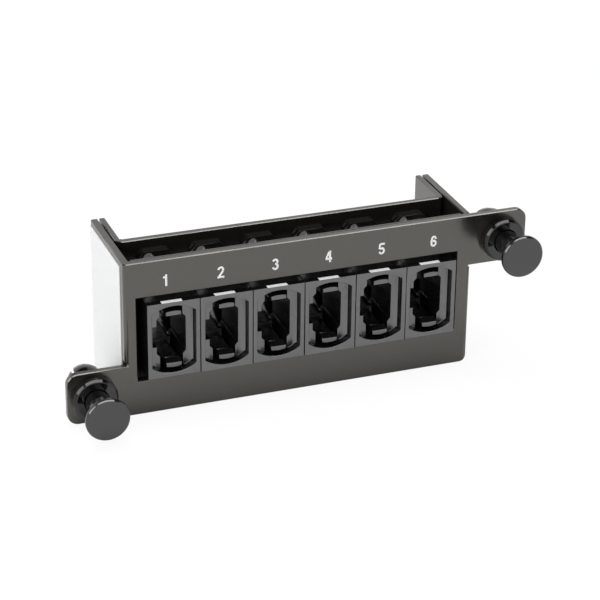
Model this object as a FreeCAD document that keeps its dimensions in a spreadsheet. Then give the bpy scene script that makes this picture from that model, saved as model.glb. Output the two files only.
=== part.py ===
import FreeCAD, Part
import math
import os
import Sketcher

# A fibre cassette: a folded black sheet-steel case whose front carries a row of six multi-fibre
# push-on adapters and which is held in its panel frame by two push-pull plunger latches.
#
# Axes: X runs along the front from left to right, Y runs from the front to the back, Z is up.
# Each body is drawn with the front face of the case at y = 0, and its Placement moves it so that
# the origin lies under the middle of the whole cassette.

doc = FreeCAD.newDocument("fibre_cassette")

# ---------------------------------------------------------------- driving dimensions, millimetres

DIMENSIONS = [
    # folded case
    ("case_width", 63.4),          # over the outer faces of the two side walls
    ("case_height", 28.5),
    ("case_depth", 19.9),          # front face to the rear edges of the side walls
    ("case_gauge", 1.2),
    ("fold_inside", 0.2),          # radii of the case's two sharp folds
    ("fold_outside", 0.7),
    ("fold_reach", 1.5),           # from a wall's outer face to the front's flat
    ("ear_length", 10.3),
    ("ear_height", 9.5),
    ("ear_corner", 2.0),
    ("foot_corner", 1.4),          # lower right corner of the front
    ("relief_width", 0.45),        # slot that frees each fold from its ear
    ("relief_height", 0.6),
    ("wall_seam", 0.15),           # between an ear and the wall that runs on behind it
    # window plate, welded behind the front
    ("plate_gauge", 0.5),
    ("plate_play", 0.15),          # round the front's opening, and to the folds
    # rear bracket
    ("bracket_gauge", 1.0),
    ("bracket_bend", 0.3),         # inner radius
    ("bracket_play", 0.15),        # round the block of adapters
    ("weld_rise", 0.3),            # projection that keeps a flange off its wall
    ("weld_width", 2.0),
    ("weld_inset", 5.0),           # centre of a projection to the bracket's edge
    ("bracket_set_back", 9.0),     # front face of the case to the bracket's front face
    # adapters
    ("adapter_count", 6),
    ("adapter_pitch", 9.4),
    ("adapter_width", 9.3),
    ("adapter_height", 14.0),
    ("adapter_level", 14.2),       # height of the adapters' centre line
    ("adapter_length", 24.0),
    ("adapter_proud", 1.6),        # stands out of the front
    ("opening_margin", 0.75),      # from the block of adapters to the edge of the front's opening
    ("opening_left_margin", 1.35),
    ("lug_thickness", 1.0),
    ("lug_width", 6.4),
    ("lug_span", 24.4),            # over the tips of an adapter's two lugs
    ("lug_chamfer", 1.0),
    ("lug_hole", 1.0),             # radius
    ("lug_hole_pitch", 22.0),
    ("lug_hole_side", 1.35),       # upper hole to the left of the centre line, lower to the right
    ("lug_root", 0.8),             # depth to which a lug runs into the block
    ("tail_height", 13.6),         # rear half, which passes the bracket's window
    ("waist_cut", 0.25),           # seat of the spring clip, cut into the rear half
    ("waist_length", 3.4),
    # plug ports
    ("port_width", 7.8),
    ("port_height", 12.5),
    ("port_arc", 6.7),             # radius of the port's two short ends
    ("port_depth", 1.7),
    ("way_width", 5.1),            # straight way behind the port
    ("way_height", 7.8),
    ("way_chamfer", 0.7),
    ("key_length", 3.8),
    ("key_depth", 0.75),
    ("latch_room", 4.0),           # width of the slot that each latch arm springs in
    ("latch_reach", 8.9),          # depth of that slot
    ("latch_width", 2.7),
    ("latch_back", 5.3),           # outer face of an arm, from the adapter's centre line
    ("latch_tip", 4.45),           # inner edge of the arm's tip
    ("latch_nose", 0.15),          # the tip lies this far behind the adapter's face
    ("latch_ramp", 1.0),           # length of the lead-in ramp
    ("latch_ledge", 0.4),          # length of the catch behind the ramp
    ("latch_rake", 0.1),           # slope of the catch's back
    ("latch_arm", 0.7),            # thickness of the springing arm
    # spring clips
    ("clip_gauge", 0.25),
    ("clip_long_lip", 6.6),        # the two lips that close the band under the adapter
    ("clip_short_lip", 1.2),
    ("clip_wing_width", 4.2),
    ("clip_wing_rise", 1.5),
    ("clip_wing_root", 0.4),
    # latch grommets
    ("post_inset", 5.65),          # grommet axis to the side wall's outer face
    ("post_rise", 4.95),           # grommet axis to the long edge of the case
    ("collar_radius", 3.95),
    ("collar_thickness", 1.9),
    ("collar_chamfer", 0.45),
    ("post_radius", 2.95),
    ("post_play", 0.05),           # in the ear's hole
    ("land_radius", 3.25),
    ("land_start", 4.0),
    ("land_length", 1.6),
    ("land_lead", 0.6),            # length of the cone that runs up to the land
    ("post_length", 7.0),          # front face of the case to the tips of the legs
    ("tip_radius", 2.75),
    ("slit_width", 0.6),
    ("slit_turn", 45),             # degrees, so that one leg points straight up
    ("slit_start", 1.8),           # front face of the case to the roots of the legs
    ("throat_radius", 2.18),
    ("bore_radius", 2.45),
    ("throat_end", 0.4),
    # plungers
    ("knob_radius", 3.85),
    ("knob_thickness", 0.8),
    ("knob_chamfer", 0.3),
    ("knob_reach", 9.1),           # front face of the case to the knob's face, pulled out
    ("shaft_radius", 2.1),
    ("stop_radius", 2.38),
    ("stop_length", 1.0),
    ("stop_play", 0.05),
    # label on the left wall
    ("label_thickness", 0.12),
    ("label_front", 2.0),
    ("label_top", 1.1),
    ("label_foot", 0.4),
    # how far a cutting outline passes the surface that it opens
    ("overcut", 0.1),
]

sheet = doc.addObject("Spreadsheet::Sheet", "sizes")
for row, (alias, value) in enumerate(DIMENSIONS, start=1):
    sheet.set("A%d" % row, alias)
    sheet.set("B%d" % row, str(value))
    sheet.setAlias("B%d" % row, alias)
doc.recompute()


class Size:
    """A length that knows both its value and the spreadsheet expression that gives it."""

    def __init__(self, value, text):
        self.value = value
        self.text = text

    def join(self, other, sign, value):
        return Size(value, "(%s %s %s)" % (self.text, sign, other.text))

    def __add__(self, other):
        other = size(other)
        return self.join(other, "+", self.value + other.value)

    def __sub__(self, other):
        other = size(other)
        return self.join(other, "-", self.value - other.value)

    def __mul__(self, other):
        other = size(other)
        return self.join(other, "*", self.value * other.value)

    def __truediv__(self, other):
        other = size(other)
        return self.join(other, "/", self.value / other.value)

    def __neg__(self):
        return Size(-self.value, "(0 - %s)" % self.text)

    def __rsub__(self, other):
        return size(other) - self


def size(number):
    return number if isinstance(number, Size) else Size(float(number), str(number))


class Sheet:
    """Attribute access to the spreadsheet: d.case_width is the Size bound to that cell."""

    def __getattr__(self, alias):
        return Size(float(sheet.get(alias)), "sizes.%s" % alias)


d = Sheet()
ZERO = size(0)

# ---------------------------------------------------------------- drawing helpers


def bind(item, name, length):
    """Set a property to a Size and bind it to the spreadsheet."""
    item.setExpression(name, length.text)


def new_body(label, x=ZERO, y=ZERO, z=ZERO, turned=False):
    """A sub-part's body; its Placement carries the frame's shift along Y."""
    body = doc.addObject("PartDesign::Body", label)
    body.Label = label
    if turned:
        body.Placement.Rotation = FreeCAD.Rotation(FreeCAD.Vector(0, 0, 1), 180)
    bind(body, "Placement.Base.x", x)
    bind(body, "Placement.Base.y", y - frame_shift)
    bind(body, "Placement.Base.z", z)
    return body


def new_sketch(body, name, plane, offset=ZERO):
    """A sketch on one of the body's own origin planes, moved by offset along its normal."""
    sketch = body.newObject("Sketcher::SketchObject", "%s_%s" % (body.Name, name))
    support = [f for f in body.Origin.OriginFeatures if f.Role == plane][0]
    sketch.AttachmentSupport = [(support, "")]
    sketch.MapMode = "FlatFace"
    bind(sketch, "AttachmentOffset.Base.z", offset)
    return sketch


def hold(sketch, kind, *where_and_length):
    """Add a dimension whose last argument is a Size, and bind it."""
    *where, length = where_and_length
    index = sketch.addConstraint(Sketcher.Constraint(kind, *where, length.value))
    sketch.setExpression("Constraints[%d]" % index, length.text)


def draw_outline(sketch, corners):
    """A closed outline. A corner is (x, y), or (x, y, radius, side) where an arc runs to the next
    one: side 1 bulges to the right of the direction of travel and side -1 to the left."""
    count = len(corners)
    first = sketch.GeometryCount
    for i, corner in enumerate(corners):
        following = corners[(i + 1) % count]
        start = FreeCAD.Vector(corner[0].value, corner[1].value, 0)
        end = FreeCAD.Vector(following[0].value, following[1].value, 0)
        if len(corner) == 4:
            chord = end - start
            radius = corner[2].value
            rise = radius - math.sqrt(radius ** 2 - (chord.Length / 2) ** 2)
            outward = FreeCAD.Vector(chord.y, -chord.x, 0).normalize() * corner[3]
            middle = (start + end) / 2 + outward * rise
            sketch.addGeometry(Part.Arc(start, middle, end), False)
        else:
            sketch.addGeometry(Part.LineSegment(start, end), False)
    for i, corner in enumerate(corners):
        geometry = first + i
        previous = first + (i - 1) % count
        start_point = end_facing(sketch, geometry, corner)
        before = end_facing(sketch, previous, corner)
        sketch.addConstraint(Sketcher.Constraint("Coincident", previous, before, geometry, start_point))
        hold(sketch, "DistanceX", -1, 1, geometry, start_point, corner[0])
        hold(sketch, "DistanceY", -1, 1, geometry, start_point, corner[1])
        if len(corner) == 4:
            hold(sketch, "Radius", geometry, corner[2])


def end_facing(sketch, geometry, corner):
    """Which end of a drawn edge (1 or 2) lies at this corner."""
    target = FreeCAD.Vector(corner[0].value, corner[1].value, 0)
    gap = [(sketch.getPoint(geometry, end) - target).Length for end in (1, 2)]
    return 1 if gap[0] < gap[1] else 2


def draw_box(sketch, left, right, low, high):
    draw_outline(sketch, [(left, low), (right, low), (right, high), (left, high)])


def draw_circle(sketch, x, y, radius):
    centre = FreeCAD.Vector(x.value, y.value, 0)
    index = sketch.addGeometry(Part.Circle(centre, FreeCAD.Vector(0, 0, 1), radius.value), False)
    hold(sketch, "DistanceX", -1, 1, index, 3, x)
    hold(sketch, "DistanceY", -1, 1, index, 3, y)
    hold(sketch, "Radius", index, radius)


def feature(body, kind, name, sketch, length=None, reverse=False):
    """A Pad or Pocket of a sketch; with no length it goes through everything."""
    item = body.newObject("PartDesign::" + kind, "%s_%s" % (body.Name, name))
    item.Profile = sketch
    if length is None:
        item.Type = "ThroughAll"
    else:
        bind(item, "Length", length)
    item.Reversed = reverse
    sketch.Visibility = False
    item.recompute(True)
    return item


def pad(body, name, sketch, length, **options):
    return feature(body, "Pad", name, sketch, length, **options)


def pocket(body, name, sketch, length=None, **options):
    """A cut, which must take something away."""
    before = body.Tip.Shape.Volume
    item = feature(body, "Pocket", name, sketch, length, **options)
    if not item.Shape.Volume < before - 1e-6:
        raise RuntimeError("%s cuts nothing" % item.Name)
    return item


def revolve(body, name, sketch, axis):
    """A full turn of a sketch about one of its axes."""
    item = body.newObject("PartDesign::Revolution", "%s_%s" % (body.Name, name))
    item.Profile = sketch
    item.ReferenceAxis = (sketch, [axis])
    item.Angle = 360
    sketch.Visibility = False
    doc.recompute()
    return item


def mirrored(body, item, plane):
    """Repeat one feature on the other side of an origin plane."""
    copy = body.newObject("PartDesign::Mirrored", "%s_mirrored" % item.Name)
    support = [f for f in body.Origin.OriginFeatures if f.Role == plane][0]
    copy.Originals = [item]
    copy.MirrorPlane = (support, [""])
    body.Tip = copy
    doc.recompute()
    return copy


# ---------------------------------------------------------------- derived places

# the whole cassette runs from the knobs' faces to the adapters' rear ends
frame_shift = (d.adapter_length - d.adapter_proud - d.knob_reach) / 2
half_width = d.case_width / 2
wall_inside = half_width - d.case_gauge
flange_outside = wall_inside - d.weld_rise
block_half = d.adapter_pitch * d.adapter_count / 2
front_length = d.bracket_set_back + d.adapter_proud
rear_length = d.adapter_length - front_length
opening_left = -block_half - d.opening_left_margin
opening_right = block_half + d.opening_margin
opening_rise = d.adapter_height / 2 + d.opening_margin

# ---------------------------------------------------------------- folded case


def fold_outline(sketch, side):
    """Section of a side wall with the fold that joins it to the front; side is -1 or 1."""
    outer = half_width * side
    inner = wall_inside * side
    flat = (half_width - d.fold_reach) * side
    curve = d.fold_outside
    bend = d.fold_inside
    draw_outline(sketch, [
        (flat, ZERO), (flat, d.case_gauge), (inner - bend * side, d.case_gauge, bend, side),
        (inner, d.case_gauge + bend), (inner, d.case_depth), (outer, d.case_depth),
        (outer, curve, curve, -side), (outer - curve * side, ZERO),
    ])


def make_outer_shell():
    """One folded sheet: the front with an ear low on the left and one high on the right, and a
    side wall folded back at each end. Each wall runs on behind its ear, past a relief slot."""
    body = new_body("outer_shell")
    top = d.case_height
    ear_top = d.ear_height
    ear_base = top - d.ear_height
    tip = half_width + d.ear_length
    flat = half_width - d.fold_reach
    notch = half_width - d.relief_width
    left_fold_foot = ear_top + d.relief_height
    right_fold_top = ear_base - d.relief_height

    sketch = new_sketch(body, "front_outline", "XZ_Plane")
    curve = d.ear_corner
    draw_outline(sketch, [
        (-tip, curve, curve, 1), (-tip + curve, ZERO), (flat, ZERO), (flat, right_fold_top),
        (notch, right_fold_top), (notch, ear_base), (tip - curve, ear_base, curve, 1),
        (tip, ear_base + curve), (tip, top - curve, curve, 1), (tip - curve, top),
        (-flat, top), (-flat, left_fold_foot), (-notch, left_fold_foot),
        (-notch, ear_top), (-tip + curve, ear_top, curve, 1), (-tip, ear_top - curve),
    ])
    pad(body, "front", sketch, d.case_gauge, reverse=True)

    # side walls with their folds
    sketch = new_sketch(body, "left_fold_outline", "XY_Plane", left_fold_foot)
    fold_outline(sketch, -1)
    pad(body, "left_fold", sketch, top - left_fold_foot)
    sketch = new_sketch(body, "right_fold_outline", "XY_Plane")
    fold_outline(sketch, 1)
    pad(body, "right_fold", sketch, right_fold_top)

    # the stretch of each wall behind its ear, which meets the ear in an open seam
    wall_start = d.case_gauge + d.wall_seam
    sketch = new_sketch(body, "left_wall_outline", "XY_Plane")
    draw_box(sketch, -half_width, -wall_inside, wall_start, d.case_depth)
    pad(body, "left_wall", sketch, left_fold_foot)
    sketch = new_sketch(body, "right_wall_outline", "XY_Plane", right_fold_top)
    draw_box(sketch, wall_inside, half_width, wall_start, d.case_depth)
    pad(body, "right_wall", sketch, top - right_fold_top)

    # opening for the row of adapters
    sketch = new_sketch(body, "opening_outline", "XZ_Plane")
    draw_box(sketch, opening_left, opening_right,
             d.adapter_level - opening_rise, d.adapter_level + opening_rise)
    pocket(body, "opening", sketch, d.case_gauge)

    # holes for the two grommets
    sketch = new_sketch(body, "latch_holes_outline", "XZ_Plane")
    hole = d.post_radius + d.post_play
    draw_circle(sketch, -(half_width + d.post_inset), d.post_rise, hole)
    draw_circle(sketch, half_width + d.post_inset, top - d.post_rise, hole)
    pocket(body, "latch_holes", sketch, d.case_gauge)

    # rounded lower right corner
    corner = d.foot_corner
    over = d.overcut
    sketch = new_sketch(body, "foot_outline", "XZ_Plane")
    draw_outline(sketch, [
        (half_width - corner, ZERO, corner, 1), (half_width, corner),
        (half_width + over, corner), (half_width + over, -over), (half_width - corner, -over),
    ])
    pocket(body, "foot", sketch)


def make_window_plate():
    """Flat sheet welded behind the front to stiffen it, with a window just wider than the opening."""
    body = new_body("window_plate")
    play = d.plate_play
    reach = half_width - d.fold_reach - play
    sketch = new_sketch(body, "outline", "XZ_Plane", -d.case_gauge)
    draw_box(sketch, -reach, reach, ZERO, d.case_height)
    pad(body, "sheet", sketch, d.plate_gauge, reverse=True)
    sketch = new_sketch(body, "window_outline", "XZ_Plane", -d.case_gauge)
    draw_box(sketch, opening_left - play, opening_right + play,
             d.adapter_level - opening_rise - play, d.adapter_level + opening_rise + play)
    pocket(body, "window", sketch, d.plate_gauge)


def make_rear_bracket():
    """Folded sheet between the side walls: it carries the adapters by their lugs, and its two
    flanges run back inside the walls, to which they are welded by low projections."""
    body = new_body("rear_bracket")
    front = d.bracket_set_back
    back = front + d.bracket_gauge
    outside = d.bracket_bend + d.bracket_gauge
    outer = flange_outside
    inner = outer - d.bracket_gauge
    bend = outer - outside
    bend_back = front + outside
    sketch = new_sketch(body, "section", "XY_Plane")
    draw_outline(sketch, [
        (-bend, front), (bend, front, outside, 1), (outer, bend_back),
        (outer, d.case_depth), (inner, d.case_depth),
        (inner, bend_back, d.bracket_bend, 1), (bend, back),
        (-bend, back, d.bracket_bend, 1), (-inner, bend_back),
        (-inner, d.case_depth), (-outer, d.case_depth),
        (-outer, bend_back, outside, 1),
    ])
    pad(body, "sheet", sketch, d.case_height)

    # welding projections, two on the outside of each flange
    half = d.weld_width / 2
    middle = (bend_back + d.case_depth) / 2
    for name, plane_offset, inwards in (("left", -outer, True), ("right", outer, False)):
        sketch = new_sketch(body, name + "_welds_outline", "YZ_Plane", plane_offset)
        for height in (d.weld_inset, d.case_height - d.weld_inset):
            draw_box(sketch, middle - half, middle + half, height - half, height + half)
        pad(body, name + "_welds", sketch, d.weld_rise, reverse=inwards)

    sketch = new_sketch(body, "window_outline", "XZ_Plane", -front)
    side = block_half + d.bracket_play
    half = d.tail_height / 2 + d.bracket_play
    draw_box(sketch, -side, side, d.adapter_level - half, d.adapter_level + half)
    pocket(body, "window", sketch, d.bracket_gauge)
    sketch = new_sketch(body, "lug_holes_outline", "XZ_Plane", -front)
    for place in adapter_places():
        for side in (-1, 1):
            draw_circle(sketch, place - d.lug_hole_side * side,
                        d.adapter_level + d.lug_hole_pitch / 2 * side, d.lug_hole)
    pocket(body, "lug_holes", sketch, d.bracket_gauge)


# ---------------------------------------------------------------- adapters


def adapter_places():
    """X of each adapter's centre line."""
    first = d.adapter_pitch / 2 - block_half
    return [first + d.adapter_pitch * i for i in range(int(d.adapter_count.value))]


def latch_outline(sketch, side):
    """Section of one latch arm, curved like the end of the port; side is 1 (upper) or -1."""
    half = d.latch_width / 2
    outer = d.port_arc - (d.port_height / 2 - d.latch_back)
    sag = arc_sag(outer, half)
    inner = d.way_height / 2
    draw_outline(sketch, [
        (-half, inner * side), (half, inner * side),
        (half, (d.latch_back - sag) * side, outer, side), (-half, (d.latch_back - sag) * side),
    ])


def arc_sag(radius, half):
    """How far an arc falls at a distance half from its crown."""
    value = radius.value - math.sqrt(radius.value ** 2 - half.value ** 2)
    text = "(%s - sqrt(%s ^ 2 - %s ^ 2))" % (radius.text, radius.text, half.text)
    return Size(value, text)


def make_adapter_half(label, length, height, place, y, turned=False):
    """Half of an adapter: a moulded block with the plug port, the keyed way behind it and a latch
    arm above and below the way. The block's face lies at its own y = 0."""
    body = new_body(label, place, y, d.adapter_level, turned)
    half = height / 2
    side = d.adapter_width / 2
    sketch = new_sketch(body, "block_outline", "XZ_Plane")
    draw_box(sketch, -side, side, -half, half)
    pad(body, "block", sketch, length, reverse=True)

    # port with two curved ends, cut round the tips of the latch arms
    port_side = d.port_width / 2
    port_shoulder = d.port_height / 2 - arc_sag(d.port_arc, port_side)
    sketch = new_sketch(body, "port_outline", "XZ_Plane")
    draw_outline(sketch, [
        (-port_side, -port_shoulder, d.port_arc, 1), (port_side, -port_shoulder),
        (port_side, port_shoulder, d.port_arc, 1), (-port_side, port_shoulder),
    ])
    latch_outline(sketch, 1)
    latch_outline(sketch, -1)
    pocket(body, "port", sketch, d.port_depth)

    # slot round each latch arm, open to the way
    room = d.latch_room / 2
    room_end = d.port_height / 2 - arc_sag(d.port_arc, room)
    room_start = d.way_height / 2 - d.way_chamfer
    for name, up in (("upper", 1), ("lower", -1)):
        sketch = new_sketch(body, name + "_latch_room_outline", "XZ_Plane")
        draw_outline(sketch, [
            (-room, room_start * up), (room, room_start * up),
            (room, room_end * up, d.port_arc, up), (-room, room_end * up),
        ])
        latch_outline(sketch, up)
        pocket(body, name + "_latch_room", sketch, d.latch_reach)

    # straight way with chamfered corners and the key slot in one long side
    wide = d.way_width / 2
    tall = d.way_height / 2
    cut = d.way_chamfer
    key = d.key_length / 2
    sketch = new_sketch(body, "way_outline", "XZ_Plane")
    draw_outline(sketch, [
        (-wide + cut, -tall), (wide - cut, -tall), (wide, -tall + cut), (wide, tall - cut),
        (wide - cut, tall), (-wide + cut, tall), (-wide, tall - cut), (-wide, key),
        (-wide - d.key_depth, key), (-wide - d.key_depth, -key), (-wide, -key), (-wide, -tall + cut),
    ])
    pocket(body, "way", sketch)

    # lead-in ramp, catch and springing arm of each latch, seen from the side
    ramp_end = d.latch_nose + d.latch_ramp
    catch_end = ramp_end + d.latch_ledge
    arm = d.latch_back - d.latch_arm
    over = d.overcut
    for name, up in (("upper", 1), ("lower", -1)):
        sketch = new_sketch(body, name + "_latch_outline", "YZ_Plane", d.latch_width / 2 + over)
        inner = d.way_height / 2 * up
        outer = (d.latch_back + over) * up
        draw_outline(sketch, [
            (-over, inner), (ramp_end, inner), (d.latch_nose, d.latch_tip * up),
            (d.latch_nose, outer), (-over, outer),
        ])
        draw_outline(sketch, [
            (catch_end, inner), (d.latch_reach, inner), (d.latch_reach, arm * up),
            (catch_end + d.latch_rake, arm * up),
        ])
        pocket(body, name + "_latch", sketch, d.latch_width + over * 2)
    return body


def make_adapters():
    for number, place in enumerate(adapter_places(), start=1):
        front = make_adapter_half("adapter_%d_front" % number, front_length, d.adapter_height,
                                  place, -d.adapter_proud)
        add_lugs(front)
        rear = make_adapter_half("adapter_%d_rear" % number, rear_length, d.tail_height,
                                 place, d.adapter_length - d.adapter_proud, turned=True)
        cut_waist(rear)
        make_clip("adapter_%d_clip" % number, place)


def add_lugs(body):
    """The two drilled lugs by which the front half bears on the bracket."""
    half = d.lug_width / 2
    root = d.adapter_height / 2 - d.lug_root
    tip = d.lug_span / 2
    cut = d.lug_chamfer
    sketch = new_sketch(body, "lugs_outline", "XZ_Plane", -front_length)
    for side in (-1, 1):
        draw_outline(sketch, [
            (-half, root * side), (half, root * side), (half, (tip - cut) * side),
            (half - cut, tip * side), (-half + cut, tip * side), (-half, (tip - cut) * side),
        ])
    pad(body, "lugs", sketch, d.lug_thickness)
    sketch = new_sketch(body, "lug_holes_outline", "XZ_Plane", -front_length)
    for side in (-1, 1):
        draw_circle(sketch, -d.lug_hole_side * side, d.lug_hole_pitch / 2 * side, d.lug_hole)
    pocket(body, "lug_holes", sketch, d.lug_thickness, reverse=True)


def cut_waist(body):
    """Seat of the spring clip, cut all round the rear half just behind the bracket."""
    half = d.tail_height / 2
    side = d.adapter_width / 2
    cut = d.waist_cut
    over = d.overcut
    start = rear_length - d.bracket_gauge
    sketch = new_sketch(body, "waist_outline", "XZ_Plane", -start)
    draw_box(sketch, -side - over, side + over, -half - over, half + over)
    draw_box(sketch, -side + cut, side - cut, -half + cut, half - cut)
    pocket(body, "waist", sketch, d.waist_length, reverse=True)


def make_clip(label, place):
    """Bent spring-steel clip: a C-shaped band round the rear half's waist, with a wing above and
    below that bears on the back of the bracket."""
    band_back = d.bracket_set_back + d.bracket_gauge
    body = new_body(label, place, band_back, d.adapter_level)
    gauge = d.clip_gauge
    x_in = d.adapter_width / 2 - d.waist_cut
    z_in = d.tail_height / 2 - d.waist_cut
    x_out = x_in + gauge
    z_out = z_in + gauge
    sketch = new_sketch(body, "band_outline", "XZ_Plane")
    long_lip = x_out - d.clip_long_lip
    short_lip = d.clip_short_lip - x_out
    draw_outline(sketch, [
        (long_lip, -z_out), (x_out, -z_out), (x_out, z_out), (-x_out, z_out), (-x_out, -z_out),
        (short_lip, -z_out), (short_lip, -z_in), (-x_in, -z_in), (-x_in, z_in),
        (x_in, z_in), (x_in, -z_in), (long_lip, -z_in),
    ])
    pad(body, "band", sketch, d.waist_length, reverse=True)
    root = d.waist_length - d.clip_wing_root
    crest = z_out + d.clip_wing_rise
    seat = z_out - d.overcut
    sketch = new_sketch(body, "upper_wing_outline", "YZ_Plane", -d.clip_wing_width / 2)
    draw_outline(sketch, [
        (root, seat), (d.waist_length, seat), (gauge, crest), (ZERO, crest), (ZERO, crest - gauge),
    ])
    wing = pad(body, "upper_wing", sketch, d.clip_wing_width)
    mirrored(body, wing, "XY_Plane")


# ---------------------------------------------------------------- latches

LATCHES = [
    ("left", -(half_width + d.post_inset), d.post_rise),
    ("right", half_width + d.post_inset, d.case_height - d.post_rise),
]


def make_grommet(name, x, z):
    """Turned-section grommet: collar in front of the ear, post through it, and four legs behind
    that swell to a land. The shaft runs in the throat; the wider bore behind holds its stop."""
    body = new_body(name + "_grommet", x, ZERO, z)
    collar = d.collar_radius
    cut = d.collar_chamfer
    land_end = d.land_start + d.land_length
    sketch = new_sketch(body, "section", "YZ_Plane")
    draw_outline(sketch, [
        (-d.collar_thickness, d.throat_radius), (d.throat_end, d.throat_radius),
        (d.throat_end, d.bore_radius), (d.post_length, d.bore_radius),
        (d.post_length, d.tip_radius), (land_end, d.land_radius), (d.land_start, d.land_radius),
        (d.land_start - d.land_lead, d.post_radius), (ZERO, d.post_radius), (ZERO, collar),
        (-d.collar_thickness + cut, collar), (-d.collar_thickness, collar - cut),
    ])
    revolve(body, "turned", sketch, "H_Axis")
    slit = d.slit_width / 2
    reach = d.land_radius + d.overcut
    sketch = new_sketch(body, "slits_outline", "XZ_Plane", -d.slit_start)
    bind(sketch, "AttachmentOffset.Rotation.Angle", d.slit_turn)
    draw_outline(sketch, [
        (-slit, -reach), (slit, -reach), (slit, -slit), (reach, -slit), (reach, slit), (slit, slit),
        (slit, reach), (-slit, reach), (-slit, slit), (-reach, slit), (-reach, -slit), (-slit, -slit),
    ])
    pocket(body, "slits", sketch)


def make_plunger(name, x, z):
    """Turned push-pull plunger: knob, shaft and the stop that keeps it in its grommet."""
    body = new_body(name + "_plunger", x, ZERO, z)
    face = -d.knob_reach
    back = face + d.knob_thickness
    cut = d.knob_chamfer
    knob = d.knob_radius
    stop = d.throat_end + d.stop_play
    sketch = new_sketch(body, "section", "YZ_Plane")
    draw_outline(sketch, [
        (face, ZERO), (stop + d.stop_length, ZERO), (stop + d.stop_length, d.stop_radius),
        (stop, d.stop_radius), (stop, d.shaft_radius), (back, d.shaft_radius), (back, knob),
        (face + cut, knob), (face, knob - cut),
    ])
    revolve(body, "turned", sketch, "H_Axis")


def make_side_label():
    """Blank white label on the outside of the left wall."""
    body = new_body("side_label", -half_width)
    sketch = new_sketch(body, "outline", "YZ_Plane", -d.label_thickness)
    draw_box(sketch, d.label_front, d.case_depth, d.label_foot, d.case_height - d.label_top)
    pad(body, "film", sketch, d.label_thickness)


# ---------------------------------------------------------------- build, check and write

make_outer_shell()
make_window_plate()
make_rear_bracket()
make_adapters()
for latch_name, latch_x, latch_z in LATCHES:
    make_grommet(latch_name, latch_x, latch_z)
    make_plunger(latch_name, latch_x, latch_z)
make_side_label()
doc.recompute()

for item in doc.Objects:
    if "Invalid" in item.State or "Error" in item.State:
        raise RuntimeError("%s failed: %s" % (item.Name, item.State))

os.makedirs("parts", exist_ok=True)
for body in doc.Objects:
    if body.TypeId == "PartDesign::Body":
        shape = body.Shape
        if shape.isNull() or not shape.isValid() or len(shape.Solids) != 1:
            raise RuntimeError("%s has a bad shape" % body.Label)
        shape.exportStep("parts/%s.step" % body.Label)
        print("%-18s %9.2f mm3" % (body.Label, shape.Volume))
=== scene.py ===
import math

import bmesh
import bpy
from mathutils import Matrix, Vector


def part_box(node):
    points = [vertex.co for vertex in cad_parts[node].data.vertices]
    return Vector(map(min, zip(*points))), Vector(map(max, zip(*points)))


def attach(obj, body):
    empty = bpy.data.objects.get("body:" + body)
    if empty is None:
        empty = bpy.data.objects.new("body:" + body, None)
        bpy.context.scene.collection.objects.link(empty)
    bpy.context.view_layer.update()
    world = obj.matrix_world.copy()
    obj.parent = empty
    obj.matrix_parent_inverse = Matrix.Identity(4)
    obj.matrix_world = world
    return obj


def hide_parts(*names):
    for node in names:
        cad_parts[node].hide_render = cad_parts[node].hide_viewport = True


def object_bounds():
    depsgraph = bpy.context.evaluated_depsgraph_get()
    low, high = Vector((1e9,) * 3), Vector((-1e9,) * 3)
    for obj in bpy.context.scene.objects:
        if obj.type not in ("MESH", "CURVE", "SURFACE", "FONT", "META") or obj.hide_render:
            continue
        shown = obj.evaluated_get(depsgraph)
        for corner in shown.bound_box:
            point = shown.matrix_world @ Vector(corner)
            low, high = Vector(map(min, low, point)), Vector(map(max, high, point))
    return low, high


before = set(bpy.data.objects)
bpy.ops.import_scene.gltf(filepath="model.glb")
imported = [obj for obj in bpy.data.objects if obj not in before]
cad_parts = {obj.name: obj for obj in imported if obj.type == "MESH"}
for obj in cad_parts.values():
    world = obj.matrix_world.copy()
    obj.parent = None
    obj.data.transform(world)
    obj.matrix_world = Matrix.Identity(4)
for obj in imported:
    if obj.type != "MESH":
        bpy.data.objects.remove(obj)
cad_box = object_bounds()


# ---- Folded case ---------------------------------------------------------------------------------
# One piece of cold-rolled sheet steel: front, two ears and two side walls. It is punched, folded
# and powder-coated gloss black, and the coat thins over every punched edge.

MM = 0.001


class Signal:
    """One output socket. Arithmetic on it adds Math nodes to the tree that it belongs to."""

    def __init__(self, nodes, socket):
        self.nodes = nodes
        self.socket = socket

    def math(self, operation, first, second):
        return self.nodes.add("ShaderNodeMath", {"operation": operation}, {0: first, 1: second})

    def __add__(self, other):
        return self.math("ADD", self, other)

    def __mul__(self, other):
        return self.math("MULTIPLY", self, other)

    def __sub__(self, other):
        return self.math("SUBTRACT", self, other)

    def __rsub__(self, other):
        return self.math("SUBTRACT", other, self)

    __radd__ = __add__
    __rmul__ = __mul__


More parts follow.
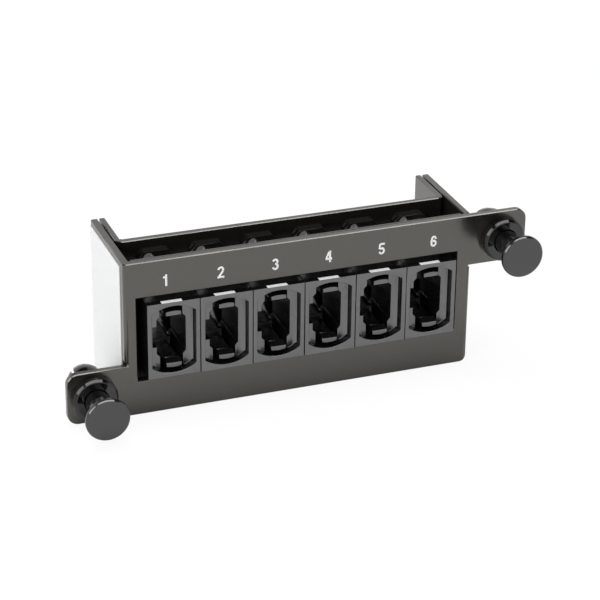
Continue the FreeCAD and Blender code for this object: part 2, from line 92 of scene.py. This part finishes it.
class Nodes:
    """The node tree of a material or a world, written as Python."""

    def __init__(self, owner):
        owner.use_nodes = True
        self.tree = owner.node_tree
        self.tree.nodes.clear()

    def add(self, kind, settings=None, sockets=None, out=0):
        """Adds a node: its settings first, then the values or Signals of its input sockets."""
        node = self.tree.nodes.new(kind)
        for name, value in (settings or {}).items():
            if name == "stops":
                ramp = node.color_ramp
                for index, (place, colour) in enumerate(value):
                    stop = ramp.elements[index] if index < 2 else ramp.elements.new(place)
                    stop.position = place
                    stop.color = (*colour, 1)
            else:
                setattr(node, name, value)
        for name, value in (sockets or {}).items():
            if isinstance(value, Signal):
                self.tree.links.new(value.socket, node.inputs[name])
            else:
                node.inputs[name].default_value = value
        return Signal(self, node.outputs[out]) if node.outputs else None

    def facing_front(self):
        """The share of the surface's normal that points along -Y, the front of the piece."""
        normal = self.add("ShaderNodeTexCoord", out="Normal")
        return self.add("ShaderNodeSeparateXYZ", None, {"Vector": normal}, out="Y") * -1.0

    def noise(self, size_mm, detail=2.0, roughness=0.5, stretch=(1, 1, 1)):
        """Noise whose lumps are about size_mm across, from 0 to 1."""
        place = self.add("ShaderNodeTexCoord", out="Object")
        mapped = self.add("ShaderNodeMapping", None, {"Vector": place, "Scale": stretch})
        return self.add("ShaderNodeTexNoise", None, {
            "Vector": mapped, "Scale": 1 / (size_mm * MM), "Detail": detail,
            "Roughness": roughness}, out="Fac")

    def ramp(self, value, stops):
        """A colour read off a ramp, whose stops are (place, colour)."""
        return self.add("ShaderNodeValToRGB", {"stops": stops}, {"Fac": value}, out="Color")

    def blend(self, mask, low, high):
        """A colour that runs from low to high as the mask runs from 0 to 1."""
        node = {"data_type": "RGBA", "blend_type": "MIX"}
        return self.add("ShaderNodeMix", node, {0: mask, 6: low, 7: high}, out=2)

    def between(self, value, low, high, to_low=0.0, to_high=1.0):
        """A number that runs from to_low to to_high as the value runs from low to high."""
        return self.add("ShaderNodeMapRange", {"clamp": True}, {
            "Value": value, "From Min": low, "From Max": high, "To Min": to_low, "To Max": to_high})

    def spread(self, noise, to_low=0.0, to_high=1.0):
        """The same, over the middle of a noise's range, where most of the noise lies."""
        return self.between(noise, 0.3, 0.7, to_low, to_high)

    def bump(self, height, depth_mm, base=None):
        """A bump whose full height is depth_mm, on top of another one where base is given."""
        sockets = {"Height": height, "Distance": depth_mm * MM, "Strength": 1.0}
        if base is not None:
            sockets["Normal"] = base
        return self.add("ShaderNodeBump", None, sockets)

    def finish(self, **sockets):
        """The Principled surface that ends a material; underscores stand for spaces."""
        named = {name.replace("_", " "): value for name, value in sockets.items()}
        surface = self.add("ShaderNodeBsdfPrincipled", None, named)
        self.add("ShaderNodeOutputMaterial", None, {"Surface": surface})


def new_material(name):
    """An empty material and the Nodes that write it."""
    material = bpy.data.materials.new(name)
    return material, Nodes(material)


black_paint, nodes = new_material("black_paint")
orange_peel = nodes.noise(0.9, detail=1.0)
fine_peel = nodes.noise(0.16, detail=1.0)
handling = nodes.noise(14, detail=4.0, roughness=0.6)
nodes.finish(
    Base_Color=nodes.blend(handling, (0.0095, 0.0088, 0.0078, 1), (0.0125, 0.0118, 0.0106, 1)),
    Roughness=nodes.spread(handling, 0.15, 0.24),
    IOR=2.0,
    Specular_Tint=(1.0, 0.965, 0.90, 1),
    Normal=nodes.bump(fine_peel, 0.0012, base=nodes.bump(orange_peel, 0.006)),
)


SAME_POINT = 0.001 * MM
SAME_PLANE = math.radians(0.5)


def eased(node, width, material, body="root", angle=30, shortest=0.0):
    """A copy of a CAD node with its sharp edges broken by width, standing for that node.

    Edges below the shortest length, such as the facets inside a tight fold, stay sharp, and
    don't hold back the width of the others."""
    shape = bmesh.new()
    shape.from_mesh(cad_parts[node].data)
    bmesh.ops.remove_doubles(shape, verts=shape.verts, dist=SAME_POINT)
    bmesh.ops.dissolve_limit(shape, angle_limit=SAME_PLANE, verts=shape.verts,
                             edges=shape.edges, delimit={"NORMAL"})
    weight = shape.edges.layers.float.new("bevel_weight_edge")
    for edge in shape.edges:
        if len(edge.link_faces) == 2 and edge.calc_face_angle() > math.radians(angle):
            edge[weight] = float(edge.calc_length() >= shortest)
    mesh = bpy.data.meshes.new(node + "_eased")
    shape.to_mesh(mesh)
    shape.free()
    piece = bpy.data.objects.new(node + "_eased", mesh)
    bpy.context.scene.collection.objects.link(piece)
    mesh.materials.clear()
    mesh.materials.append(material)
    ease = piece.modifiers.new("eased_edges", "BEVEL")
    ease.width = width
    ease.segments = 1
    ease.limit_method = "WEIGHT"
    ease.use_clamp_overlap = shortest == 0.0
    for face in mesh.polygons:
        face.use_smooth = True
    mesh.set_sharp_from_angle(angle=math.radians(angle))
    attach(piece, body)
    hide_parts(node)


CASE_EDGE = 0.14 * MM
CASE_FACET = 0.097 * MM      # above the facets of the folds and of the relief notches
eased("outer_shell", CASE_EDGE, black_paint, shortest=CASE_FACET)


# ---- Window plate and rear bracket ---------------------------------------------------------------
# Two more blanks of the same steel, spot-welded inside the case and coated with it. The plate's
# window closes round the adapters, and the bracket carries them.

PLATE_EDGE = 0.08 * MM
BRACKET_EDGE = 0.12 * MM
FOLD_FACET = 0.08 * MM       # above the facets of the bracket's folds
eased("window_plate", PLATE_EDGE, black_paint, shortest=FOLD_FACET)
eased("rear_bracket", BRACKET_EDGE, black_paint, shortest=FOLD_FACET)


# ---- Adapters ------------------------------------------------------------------------------------
# Six two-part adapters, injection-moulded in black glass-filled plastic, pushed together through
# the bracket's window from both sides. The faces carry a satin texture that catches the light, and
# the mould's polished cores leave the insides of the ports glossy and dark.

black_moulding, nodes = new_material("black_moulding")
spark = nodes.noise(0.12, detail=2.0)
flow = nodes.noise(5, detail=3.0, stretch=(1, 0.4, 1))
satin = nodes.between(nodes.facing_front(), 0.60, 0.90)
nodes.finish(
    Base_Color=nodes.blend(nodes.spread(flow), (0.0040, 0.0040, 0.0039, 1),
                           (0.0060, 0.0060, 0.0059, 1)),
    Roughness=nodes.spread(flow, 0.14, 0.20) + satin * 0.12,
    IOR=1.42,
    Coat_Weight=satin,
    Coat_Roughness=0.28,
    Coat_IOR=2.15,
    Normal=nodes.bump(spark, 0.002),
)

ADAPTERS = sum(name.startswith("adapter_") and name.endswith("_front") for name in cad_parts)
ADAPTER_EDGE = 0.05 * MM
for number in range(1, ADAPTERS + 1):
    eased("adapter_%d_front" % number, ADAPTER_EDGE, black_moulding)
    eased("adapter_%d_rear" % number, ADAPTER_EDGE, black_moulding)


# ---- Spring clips --------------------------------------------------------------------------------
# A blank of bright spring steel bent round each adapter's rear half, with two wings that bear on
# the bracket. The strip keeps its rolling grain and a faint tempering colour.

spring_steel, nodes = new_material("spring_steel")
grain = nodes.noise(0.25, detail=3.0, stretch=(1, 12, 1))
temper = nodes.noise(3, detail=2.0)
nodes.finish(
    Base_Color=nodes.ramp(temper, [(0.3, (0.56, 0.55, 0.53)), (0.7, (0.50, 0.47, 0.42))]),
    Roughness=nodes.spread(grain, 0.22, 0.40),
    Metallic=1.0,
    Normal=nodes.bump(grain, 0.002),
)
CLIP_EDGE = 0.03 * MM
for number in range(1, ADAPTERS + 1):
    eased("adapter_%d_clip" % number, CLIP_EDGE, spring_steel)


# ---- Latch grommets ------------------------------------------------------------------------------
# Black nylon: a thick collar in front of the ear, and behind it a split post whose legs grip the
# panel frame. The collar's flat face is buffed, and the rest is as it leaves the mould.

BUFFED = (0.85, 0.97)        # how squarely a buffed face looks to the front, from none to all of it
black_nylon, nodes = new_material("black_nylon")
skin = nodes.noise(0.5, detail=3.0)
nodes.finish(
    Base_Color=(0.0035, 0.0034, 0.0032, 1),
    Roughness=nodes.spread(skin, 0.06, 0.10),
    IOR=1.45,
    Coat_Weight=nodes.between(nodes.facing_front(), *BUFFED),
    Coat_Roughness=0.06,
    Coat_IOR=1.38,
    Normal=nodes.bump(skin, 0.002),
)
ROUND_EDGE = 0.08 * MM
ROUND_ANGLE = 25             # degrees; above the angle between two facets of a round
for side in ("left", "right"):
    eased(side + "_grommet", ROUND_EDGE, black_nylon, angle=ROUND_ANGLE)


# ---- Plungers ------------------------------------------------------------------------------------
# Moulded nylon of the same black: a flat knob with a buffed face, a shaft and the stop behind the
# grommet's throat.

black_knob, nodes = new_material("black_knob")
haze = nodes.noise(2.5, detail=3.0)
nodes.finish(
    Base_Color=(0.0035, 0.0034, 0.0032, 1),
    Roughness=nodes.spread(haze, 0.08, 0.14),
    IOR=1.75,
    Coat_Weight=nodes.between(nodes.facing_front(), *BUFFED),
    Coat_Roughness=0.14,
    Coat_IOR=1.20,
    Normal=nodes.bump(nodes.noise(0.35, detail=2.0), 0.002),
)
for side in ("left", "right"):
    eased(side + "_plunger", ROUND_EDGE, black_knob, body=side + "_plunger", angle=ROUND_ANGLE)


# ---- Side label ----------------------------------------------------------------------------------
# A blank label of white polyester film, stuck to the left wall. Its face is satin and very
# faintly mottled.

white_film, nodes = new_material("white_film")
mottle = nodes.noise(0.6, detail=3.0)
nodes.finish(
    Base_Color=nodes.ramp(mottle, [(0.3, (0.82, 0.825, 0.83)), (0.7, (0.78, 0.785, 0.79))]),
    Roughness=0.45,
    IOR=1.45,
    Normal=nodes.bump(mottle, 0.002),
)
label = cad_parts["side_label"]
label.data.materials.clear()
label.data.materials.append(white_film)


# ---- Printing ------------------------------------------------------------------------------------
# White screen-printing ink: a port number over each adapter, and a keying bar on the top of each
# adapter at its front edge. The ink stands two hundredths of a millimetre proud.

white_ink, nodes = new_material("white_ink")
pinholes = nodes.noise(0.18, detail=1.0)
nodes.finish(
    Base_Color=nodes.ramp(pinholes, [(0.25, (0.80, 0.80, 0.79)), (0.42, (0.93, 0.93, 0.925))]),
    Roughness=0.42,
    IOR=1.45,
    Normal=nodes.bump(pinholes, 0.004),
)
INK = 0.02 * MM
NUMERAL_HEIGHT = 2.15 * MM
NUMERAL_PITCH = 9.75 * MM
NUMERAL_LEVEL = 24.65 * MM
PEN = 0.170                  # width of a stroke in heights of a numeral
OVERLAP = 0.005 * MM         # a stroke that crosses another lies this much over it
STEPS = 14                   # straight lengths in a bow


def bow(x, y, wide, tall, start, end):
    """Points on an ellipse about (x, y), from one angle to another in degrees."""
    angles = [math.radians(start + (end - start) * step / STEPS) for step in range(STEPS + 1)]
    return [(x + wide * math.cos(angle), y + tall * math.sin(angle)) for angle in angles]


# centre lines of the pen's strokes, in heights of a numeral, from its foot and its middle
NUMERALS = {
    1: [[(0.06, 0), (0.06, 1)], [(-0.19, 0.745), (-0.02, 0.80)]],
    2: [bow(0, 0.70, 0.195, 0.215, 172, -28) + [(-0.13, 0.16)], [(-0.28, 0.085), (0.28, 0.085)]],
    3: [bow(0, 0.715, 0.185, 0.195, 165, -90), bow(0, 0.305, 0.20, 0.215, 90, -168)],
    4: [[(0.10, 0), (0.10, 1)], [(0.03, 0.90), (-0.215, 0.36)], [(-0.28, 0.295), (0.27, 0.295)]],
    5: [[(-0.16, 0.915), (0.25, 0.915)], [(-0.14, 0.93), (-0.185, 0.50)],
        bow(0.005, 0.315, 0.195, 0.235, 140, -168)],
    6: [bow(0.005, 0.315, 0.19, 0.23, 0, 360), bow(0.02, 0.47, 0.205, 0.445, 195, 30)],
}


def group(name, *sockets):
    """An empty Geometry Nodes tree with the named inputs, each (name, kind)."""
    tree = bpy.data.node_groups.new(name, "GeometryNodeTree")
    tree.interface.new_socket("Geometry", in_out="INPUT", socket_type="NodeSocketGeometry")
    for socket, kind in sockets:
        tree.interface.new_socket(socket, in_out="INPUT", socket_type="NodeSocket" + kind)
    tree.interface.new_socket("Geometry", in_out="OUTPUT", socket_type="NodeSocketGeometry")
    return tree


def lay(tree, kind, settings=None, sockets=None):
    """Adds a node to a Geometry Nodes tree, with values or other nodes' outputs at its inputs."""
    node = tree.nodes.new(kind)
    for name, value in (settings or {}).items():
        setattr(node, name, value)
    for name, value in (sockets or {}).items():
        if isinstance(value, bpy.types.NodeSocket):
            tree.links.new(value, node.inputs[name])
        else:
            node.inputs[name].default_value = value
    return node


def made(tree, source, values):
    """The plain mesh that a tree makes of an object, with its inputs set by identifier."""
    modifier = source.modifiers.new(tree.name, "NODES")
    modifier.node_group = tree
    for item in tree.interface.items_tree:
        if item.in_out == "INPUT" and item.name in values:
            modifier[item.identifier] = values[item.name]
    bpy.context.view_layer.update()
    ready = source.evaluated_get(bpy.context.evaluated_depsgraph_get())
    mesh = bpy.data.meshes.new_from_object(ready)
    source.modifiers.remove(modifier)
    bpy.data.objects.remove(source)
    return mesh


def inked(tree, given, shape):
    """Ends a tree: its instances made real, in the material of its Finish input."""
    whole = lay(tree, "GeometryNodeRealizeInstances", None, {"Geometry": shape})
    coated = lay(tree, "GeometryNodeSetMaterial", None, {
        "Geometry": whole.outputs["Geometry"], "Material": given.outputs["Finish"]})
    lay(tree, "NodeGroupOutput", None, {"Geometry": coated.outputs["Geometry"]})


pen_stroke = group("pen_stroke", ("Pen", "Float"), ("Ink", "Float"), ("Finish", "Material"))
given = lay(pen_stroke, "NodeGroupInput")
upright = lay(pen_stroke, "GeometryNodeSetCurveNormal", {"mode": "Z_UP"},
              {"Curve": given.outputs["Geometry"]})
nib = lay(pen_stroke, "GeometryNodeCurvePrimitiveQuadrilateral", {"mode": "RECTANGLE"},
          {"Width": given.outputs["Pen"], "Height": given.outputs["Ink"]})
ribbon = lay(pen_stroke, "GeometryNodeCurveToMesh", None, {
    "Curve": upright.outputs["Curve"], "Profile Curve": nib.outputs["Curve"], "Fill Caps": True})
inked(pen_stroke, given, ribbon.outputs["Mesh"])

sketch = bpy.data.curves.new("pen_lines", "CURVE")
for number, strokes in NUMERALS.items():
    port = (number - (ADAPTERS + 1) / 2) * NUMERAL_PITCH
    for layer, points in enumerate(strokes):
        line = sketch.splines.new("POLY")
        line.points.add(len(points) - 1)
        for point, (across, up) in zip(line.points, points):
            point.co = (port + across * NUMERAL_HEIGHT, (up - 0.5) * NUMERAL_HEIGHT,
                        layer * OVERLAP, 1)
pen_lines = bpy.data.objects.new("pen_lines", sketch)
bpy.context.scene.collection.objects.link(pen_lines)
numerals_mesh = made(pen_stroke, pen_lines, {
    "Pen": PEN * NUMERAL_HEIGHT, "Ink": INK, "Finish": white_ink})
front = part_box("outer_shell")[0][1]
for vertex in numerals_mesh.vertices:
    across, up, out = vertex.co
    vertex.co = (across, front - INK / 2 - out, NUMERAL_LEVEL + up)
numerals = bpy.data.objects.new("port_numbers", numerals_mesh)
bpy.context.scene.collection.objects.link(numerals)
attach(numerals, "root")

BAR_LENGTH = 3.65 * MM
BAR_DEPTH = 0.9 * MM
BAR_SIDE = -0.25 * MM        # middle of a bar from the middle of its adapter
FRONT_RISE = 0.2 * MM        # top of an adapter's front half over that of its rear half
bars = group("keying_bars", ("Count", "Int"), ("Start", "Vector"), ("Pitch", "Float"),
             ("Size", "Vector"), ("Finish", "Material"))
given = lay(bars, "NodeGroupInput")
step = lay(bars, "ShaderNodeCombineXYZ", None, {"X": given.outputs["Pitch"]})
row = lay(bars, "GeometryNodeMeshLine", None, {
    "Count": given.outputs["Count"], "Start Location": given.outputs["Start"],
    "Offset": step.outputs["Vector"]})
bar = lay(bars, "GeometryNodeMeshCube", None, {"Size": given.outputs["Size"]})
placed = lay(bars, "GeometryNodeInstanceOnPoints", None, {
    "Points": row.outputs["Mesh"], "Instance": bar.outputs["Mesh"]})
inked(bars, given, placed.outputs["Instances"])

first_low, first_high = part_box("adapter_1_front")
adapter_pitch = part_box("adapter_2_front")[0][0] - first_low[0]
adapter_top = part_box("adapter_1_rear")[1][2] + FRONT_RISE
carrier = bpy.data.objects.new("bar_carrier", bpy.data.meshes.new("bar_carrier"))
bpy.context.scene.collection.objects.link(carrier)
bars_mesh = made(bars, carrier, {
    "Count": ADAPTERS,
    "Start": ((first_low[0] + first_high[0]) / 2 + BAR_SIDE, first_low[1] + BAR_DEPTH / 2,
              adapter_top + INK / 2),
    "Pitch": adapter_pitch, "Size": (BAR_LENGTH, BAR_DEPTH, INK), "Finish": white_ink})
keying_bars = bpy.data.objects.new("keying_bars", bars_mesh)
bpy.context.scene.collection.objects.link(keying_bars)
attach(keying_bars, "root")


# ---- Studio --------------------------------------------------------------------------------------
# A pale floor that keeps the cassette's shadow, in an even white surround. A strip lamp overhead
# gives the gloss its streaks, a key lamp above lights the colours, and a third fills from the left.

REACH = 3.0
FLOOR_GLOW = 0.88            # share of the floor that shines white by itself to the camera
FLOOR_IN_GLOSS = 0.05        # the same share in reflections


def ray(nodes, kind):
    """1 for rays of this kind, and 0 for the others."""
    return nodes.add("ShaderNodeLightPath", out="Is %s Ray" % kind)


floor_mesh = bpy.data.meshes.new("floor")
floor_mesh.from_pydata(
    [(-REACH, -REACH, 0), (REACH, -REACH, 0), (REACH, REACH, 0), (-REACH, REACH, 0)],
    [], [(0, 1, 2, 3)])
floor = bpy.data.objects.new("floor", floor_mesh)
bpy.context.scene.collection.objects.link(floor)
white_floor, nodes = new_material("white_floor")
glowing = ray(nodes, "Camera") * FLOOR_GLOW \
    + ray(nodes, "Glossy") * FLOOR_IN_GLOSS \
    + ray(nodes, "Transmission") * FLOOR_GLOW
paper = nodes.add("ShaderNodeBsdfDiffuse", None, {"Color": (0.8, 0.8, 0.8, 1)})
glow = nodes.add("ShaderNodeEmission", None, {"Color": (1, 1, 1, 1), "Strength": 1.03})
surface = nodes.add("ShaderNodeMixShader", None, {0: glowing, 1: paper, 2: glow})
nodes.add("ShaderNodeOutputMaterial", None, {"Surface": surface})
floor_mesh.materials.append(white_floor)

FILL = 0.55                  # strength of the surround as a light
WALLS, CEILING = 1.0, 0.04   # its strength in reflections, low down and overhead
CEILING_EDGE = (0.38, 0.56)  # sine of the height where the one turns into the other
world = bpy.data.worlds.new("studio")
bpy.context.scene.world = world
nodes = Nodes(world)
seen = ray(nodes, "Camera") + ray(nodes, "Transmission")
gloss = ray(nodes, "Glossy")
direction = nodes.add("ShaderNodeTexCoord", out="Generated")
height = nodes.add("ShaderNodeSeparateXYZ", None, {"Vector": direction}, out="Z")
reflected = nodes.between(height, *CEILING_EDGE, WALLS, CEILING)
strength = seen + gloss * reflected + (1 - seen - gloss) * FILL
surround = nodes.add("ShaderNodeBackground", None, {"Color": (1, 1, 1, 1), "Strength": strength})
nodes.add("ShaderNodeOutputWorld", None, {"Surface": surround})

centre = (Vector(cad_box[0]) + Vector(cad_box[1])) / 2


def lamp(name, offset, size, power, diffuse=True, glossy=True):
    """A rectangular lamp at an offset from the cassette's centre, turned to face it."""
    light = bpy.data.lights.new(name, "AREA")
    light.shape = "RECTANGLE"
    light.size, light.size_y = size
    light.energy = power
    holder = bpy.data.objects.new(name, light)
    place = centre + Vector(offset)
    holder.location = place
    holder.rotation_euler = (centre - place).to_track_quat("-Z", "Y").to_euler()
    holder.visible_camera = False
    holder.visible_diffuse = diffuse
    holder.visible_glossy = glossy
    bpy.context.scene.collection.objects.link(holder)


lamp("strip_overhead", offset=(0.03, -0.36, 0.66), size=(0.95, 0.16), power=2.5, diffuse=False)
lamp("key_above", offset=(-0.05, 0.15, 0.75), size=(0.6, 0.6), power=4.2, glossy=False)
lamp("left_side", offset=(-0.70, -0.45, 0.36), size=(0.5, 0.5), power=3.0)

STAND = (-0.12186, -0.33065, 0.18537)
AZIMUTH, DIP, ROLL = math.radians(20.561), math.radians(25.921), math.radians(0.68)
camera_data = bpy.data.cameras.new("camera")
camera_data.lens = 134.24
camera_data.sensor_width = 36
camera_data.clip_start = 0.01
camera = bpy.data.objects.new("camera", camera_data)
bpy.context.scene.collection.objects.link(camera)
bpy.context.scene.camera = camera
look = Vector((math.sin(AZIMUTH) * math.cos(DIP), math.cos(AZIMUTH) * math.cos(DIP),
               -math.sin(DIP)))
level = look.to_track_quat("-Z", "Y").to_matrix()
camera.location = STAND
camera.rotation_euler = (level @ Matrix.Rotation(ROLL, 3, "Z")).to_euler()

bpy.context.scene.view_settings.view_transform = "Standard"
